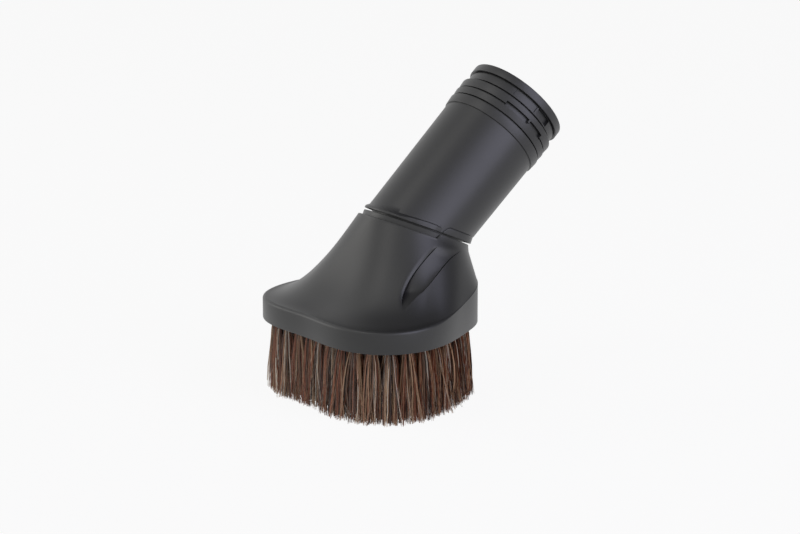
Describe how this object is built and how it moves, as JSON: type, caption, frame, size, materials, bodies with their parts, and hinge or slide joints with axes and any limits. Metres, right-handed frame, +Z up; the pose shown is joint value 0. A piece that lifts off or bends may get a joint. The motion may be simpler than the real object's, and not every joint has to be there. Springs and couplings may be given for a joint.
{
  "type": "vacuum dusting brush",
  "caption": "Dusting brush for a vacuum cleaner: a hollow hood over a ring of horsehair tufts, with a slanted tube that swivels on a mitred seam.",
  "frame": {"origin": "middle of the bounding box's footprint, at the level of the bristle tips", "axes": "+Z up, from the bristle tips towards the tube; +Y towards the heel, the way the tube leans at rest; -Y towards the blunt toe; +X across the brush, so the part mirrors in X"},
  "size_m": [0.086, 0.116, 0.1213],
  "materials": {
    "neck_tube": "satin charcoal moulded ABS",
    "hood": "satin charcoal moulded ABS",
    "tuft_ring": "matt black moulded polypropylene",
    "retaining_ring": "black acetal",
    "horsehair": "natural horsehair, dark brown with paler strands"
  },
  "bodies": {
    "head": {"hood": "hood", "tuft_ring": "tuft_ring", "tuft_1_01": "horsehair", "tuft_1_02": "horsehair", "tuft_1_03": "horsehair", "tuft_1_04": "horsehair", "tuft_1_05": "horsehair", "tuft_1_06": "horsehair", "tuft_1_07": "horsehair", "tuft_1_08": "horsehair", "tuft_1_09": "horsehair", "tuft_1_10": "horsehair", "tuft_1_11": "horsehair", "tuft_1_12": "horsehair", "tuft_1_13": "horsehair", "tuft_1_14": "horsehair", "tuft_1_15": "horsehair", "tuft_1_16": "horsehair", "tuft_1_17": "horsehair", "tuft_1_18": "horsehair", "tuft_1_19": "horsehair", "tuft_1_20": "horsehair", "tuft_1_21": "horsehair", "tuft_1_22": "horsehair", "tuft_1_23": "horsehair", "tuft_1_24": "horsehair", "tuft_1_25": "horsehair", "tuft_1_26": "horsehair", "tuft_1_27": "horsehair", "tuft_1_28": "horsehair", "tuft_1_29": "horsehair", "tuft_1_30": "horsehair", "tuft_1_31": "horsehair", "tuft_1_32": "horsehair", "tuft_2_01": "horsehair", "tuft_2_02": "horsehair", "tuft_2_03": "horsehair", "tuft_2_04": "horsehair", "tuft_2_05": "horsehair", "tuft_2_06": "horsehair", "tuft_2_07": "horsehair", "tuft_2_08": "horsehair", "tuft_2_09": "horsehair", "tuft_2_10": "horsehair", "tuft_2_11": "horsehair", "tuft_2_12": "horsehair", "tuft_2_13": "horsehair", "tuft_2_14": "horsehair", "tuft_2_15": "horsehair", "tuft_2_16": "horsehair", "tuft_2_17": "horsehair", "tuft_2_18": "horsehair", "tuft_2_19": "horsehair", "tuft_2_20": "horsehair", "tuft_2_21": "horsehair", "tuft_2_22": "horsehair"},
    "neck": {"neck_tube": "neck_tube", "retaining_ring": "retaining_ring"}
  },
  "joints": [
    {"name": "neck_swivel", "type": "hinge", "parent": "head", "child": "neck", "pos_m": [0, -0.00431, 0.0629], "axis": [0, 0.4115, 0.9114], "continuous": true}
  ]
}
